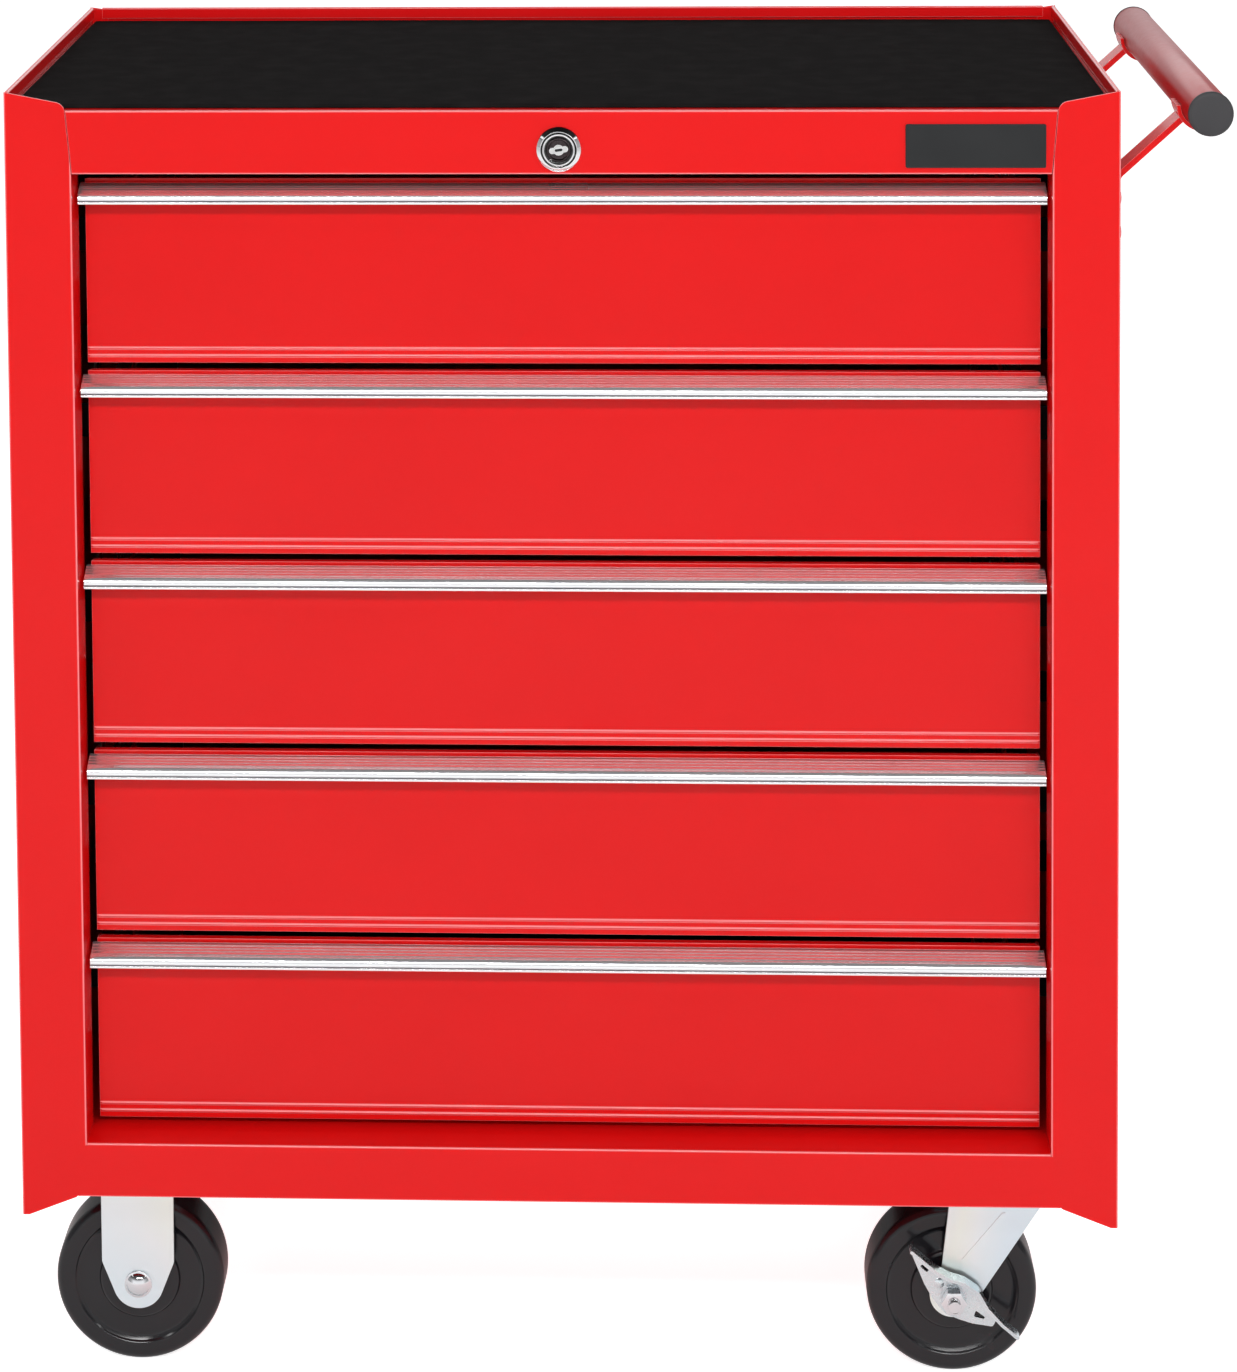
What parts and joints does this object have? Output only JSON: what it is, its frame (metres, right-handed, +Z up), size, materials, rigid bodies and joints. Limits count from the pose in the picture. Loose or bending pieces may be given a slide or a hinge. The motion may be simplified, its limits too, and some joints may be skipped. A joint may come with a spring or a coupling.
{
  "type": "rolling tool cart",
  "caption": "Red sheet-steel rolling tool cart with full-width drawers on slides, a key lock, a non-slip top mat, a side push handle, and fixed and braked swivel casters.",
  "frame": {"origin": "on the floor, at the middle of the whole cart's footprint, side handle included", "axes": "+Z up; the drawers open towards -Y; the push handle is on the +X side"},
  "size_m": [0.6984, 0.3334, 0.772],
  "materials": {
    "red_paint": "glossy red powder coat",
    "chrome": "bright chrome plate",
    "zinc_plate": "bright zinc plate",
    "slide_steel": "zinc-plated rolled steel",
    "wheel_plastic": "semi-gloss moulded black plastic",
    "cap_plastic": "satin dark grey plastic",
    "top_mat": "finely ribbed non-slip foam rubber"
  },
  "bodies": {
    "cabinet": {"side_panel_left": "red_paint", "side_panel_right": "red_paint", "back_panel": "red_paint", "top_panel": "red_paint", "bottom_panel": "red_paint", "top_mat": "top_mat", "lock_housing": "chrome", "handle_tube": "red_paint", "handle_arm_front": "red_paint", "handle_arm_rear": "red_paint", "handle_cap_front": "cap_plastic", "handle_cap_rear": "cap_plastic", "slide_rail_left_1": "slide_steel", "slide_rail_right_1": "slide_steel", "slide_rail_left_2": "slide_steel", "slide_rail_right_2": "slide_steel", "slide_rail_left_3": "slide_steel", "slide_rail_right_3": "slide_steel", "slide_rail_left_4": "slide_steel", "slide_rail_right_4": "slide_steel", "slide_rail_left_5": "slide_steel", "slide_rail_right_5": "slide_steel", "fixed_caster_bracket_front": "zinc_plate", "fixed_caster_bracket_rear": "zinc_plate", "fixed_caster_axle_front": "zinc_plate", "fixed_caster_axle_rear": "zinc_plate", "swivel_plate_front": "zinc_plate", "swivel_plate_rear": "zinc_plate"},
    "drawer_1": {"drawer_box_1": "red_paint", "drawer_pull_1": "chrome", "slide_runner_left_1": "slide_steel", "slide_runner_right_1": "slide_steel"},
    "drawer_2": {"drawer_box_2": "red_paint", "drawer_pull_2": "chrome", "slide_runner_left_2": "slide_steel", "slide_runner_right_2": "slide_steel"},
    "drawer_3": {"drawer_box_3": "red_paint", "drawer_pull_3": "chrome", "slide_runner_left_3": "slide_steel", "slide_runner_right_3": "slide_steel"},
    "drawer_4": {"drawer_box_4": "red_paint", "drawer_pull_4": "chrome", "slide_runner_left_4": "slide_steel", "slide_runner_right_4": "slide_steel"},
    "drawer_5": {"drawer_box_5": "red_paint", "drawer_pull_5": "chrome", "slide_runner_left_5": "slide_steel", "slide_runner_right_5": "slide_steel"},
    "fixed_wheel_front": {"wheel_fixed_front": "wheel_plastic"},
    "fixed_wheel_rear": {"wheel_fixed_rear": "wheel_plastic"},
    "caster_fork_front": {"swivel_fork_front": "zinc_plate", "swivel_axle_front": "zinc_plate"},
    "swivel_wheel_front": {"wheel_swivel_front": "wheel_plastic"},
    "brake_front": {"brake_lever_front": "zinc_plate"},
    "caster_fork_rear": {"swivel_fork_rear": "zinc_plate", "swivel_axle_rear": "zinc_plate"},
    "swivel_wheel_rear": {"wheel_swivel_rear": "wheel_plastic"},
    "brake_rear": {"brake_lever_rear": "zinc_plate"},
    "lock_plug": {"lock_plug": "chrome"},
    "lock_bar": {"lock_bar": "slide_steel"}
  },
  "joints": [
    {"name": "drawer_1_slide", "type": "slide", "parent": "cabinet", "child": "drawer_1", "axis": [0, -1, 0], "range_m": [0, 0.215]},
    {"name": "drawer_2_slide", "type": "slide", "parent": "cabinet", "child": "drawer_2", "axis": [0, -1, 0], "range_m": [0, 0.215]},
    {"name": "drawer_3_slide", "type": "slide", "parent": "cabinet", "child": "drawer_3", "axis": [0, -1, 0], "range_m": [0, 0.215]},
    {"name": "drawer_4_slide", "type": "slide", "parent": "cabinet", "child": "drawer_4", "axis": [0, -1, 0], "range_m": [0, 0.215]},
    {"name": "drawer_5_slide", "type": "slide", "parent": "cabinet", "child": "drawer_5", "axis": [0, -1, 0], "range_m": [0, 0.215]},
    {"name": "fixed_wheel_front_spin", "type": "hinge", "parent": "cabinet", "child": "fixed_wheel_front", "pos_m": [-0.2877, -0.10325, 0.05], "axis": [0, 1, 0], "continuous": true},
    {"name": "fixed_wheel_rear_spin", "type": "hinge", "parent": "cabinet", "child": "fixed_wheel_rear", "pos_m": [-0.2877, 0.10675, 0.05], "axis": [0, 1, 0], "continuous": true},
    {"name": "caster_front_swivel", "type": "hinge", "parent": "cabinet", "child": "caster_fork_front", "pos_m": [0.2243, -0.10325, 0.1105], "axis": [0, 0, 1], "continuous": true},
    {"name": "swivel_wheel_front_spin", "type": "hinge", "parent": "caster_fork_front", "child": "swivel_wheel_front", "pos_m": [0.1943, -0.10325, 0.05], "axis": [0, 1, 0], "continuous": true},
    {"name": "brake_front_press", "type": "hinge", "parent": "caster_fork_front", "child": "brake_front", "pos_m": [0.1943, -0.10325, 0.05], "axis": [0, -1, 0], "range_deg": [0, 25]},
    {"name": "caster_rear_swivel", "type": "hinge", "parent": "cabinet", "child": "caster_fork_rear", "pos_m": [0.2243, 0.10675, 0.1105], "axis": [0, 0, 1], "continuous": true},
    {"name": "swivel_wheel_rear_spin", "type": "hinge", "parent": "caster_fork_rear", "child": "swivel_wheel_rear", "pos_m": [0.1943, 0.10675, 0.05], "axis": [0, 1, 0], "continuous": true},
    {"name": "brake_rear_press", "type": "hinge", "parent": "caster_fork_rear", "child": "brake_rear", "pos_m": [0.1943, 0.10675, 0.05], "axis": [0, -1, 0], "range_deg": [0, 25]},
    {"name": "lock_turn", "type": "hinge", "parent": "cabinet", "child": "lock_plug", "pos_m": [-0.0317, -0.16325, 0.739], "axis": [0, 1, 0], "range_deg": [0, 90]},
    {"name": "lock_bar_slide", "type": "slide", "parent": "cabinet", "child": "lock_bar", "axis": [0, 0, -1], "range_m": [0, 0.01]}
  ],
  "couplings": [
    {"joint": "lock_turn", "follows": "lock_bar_slide", "rad_per_m": 157.08}
  ]
}
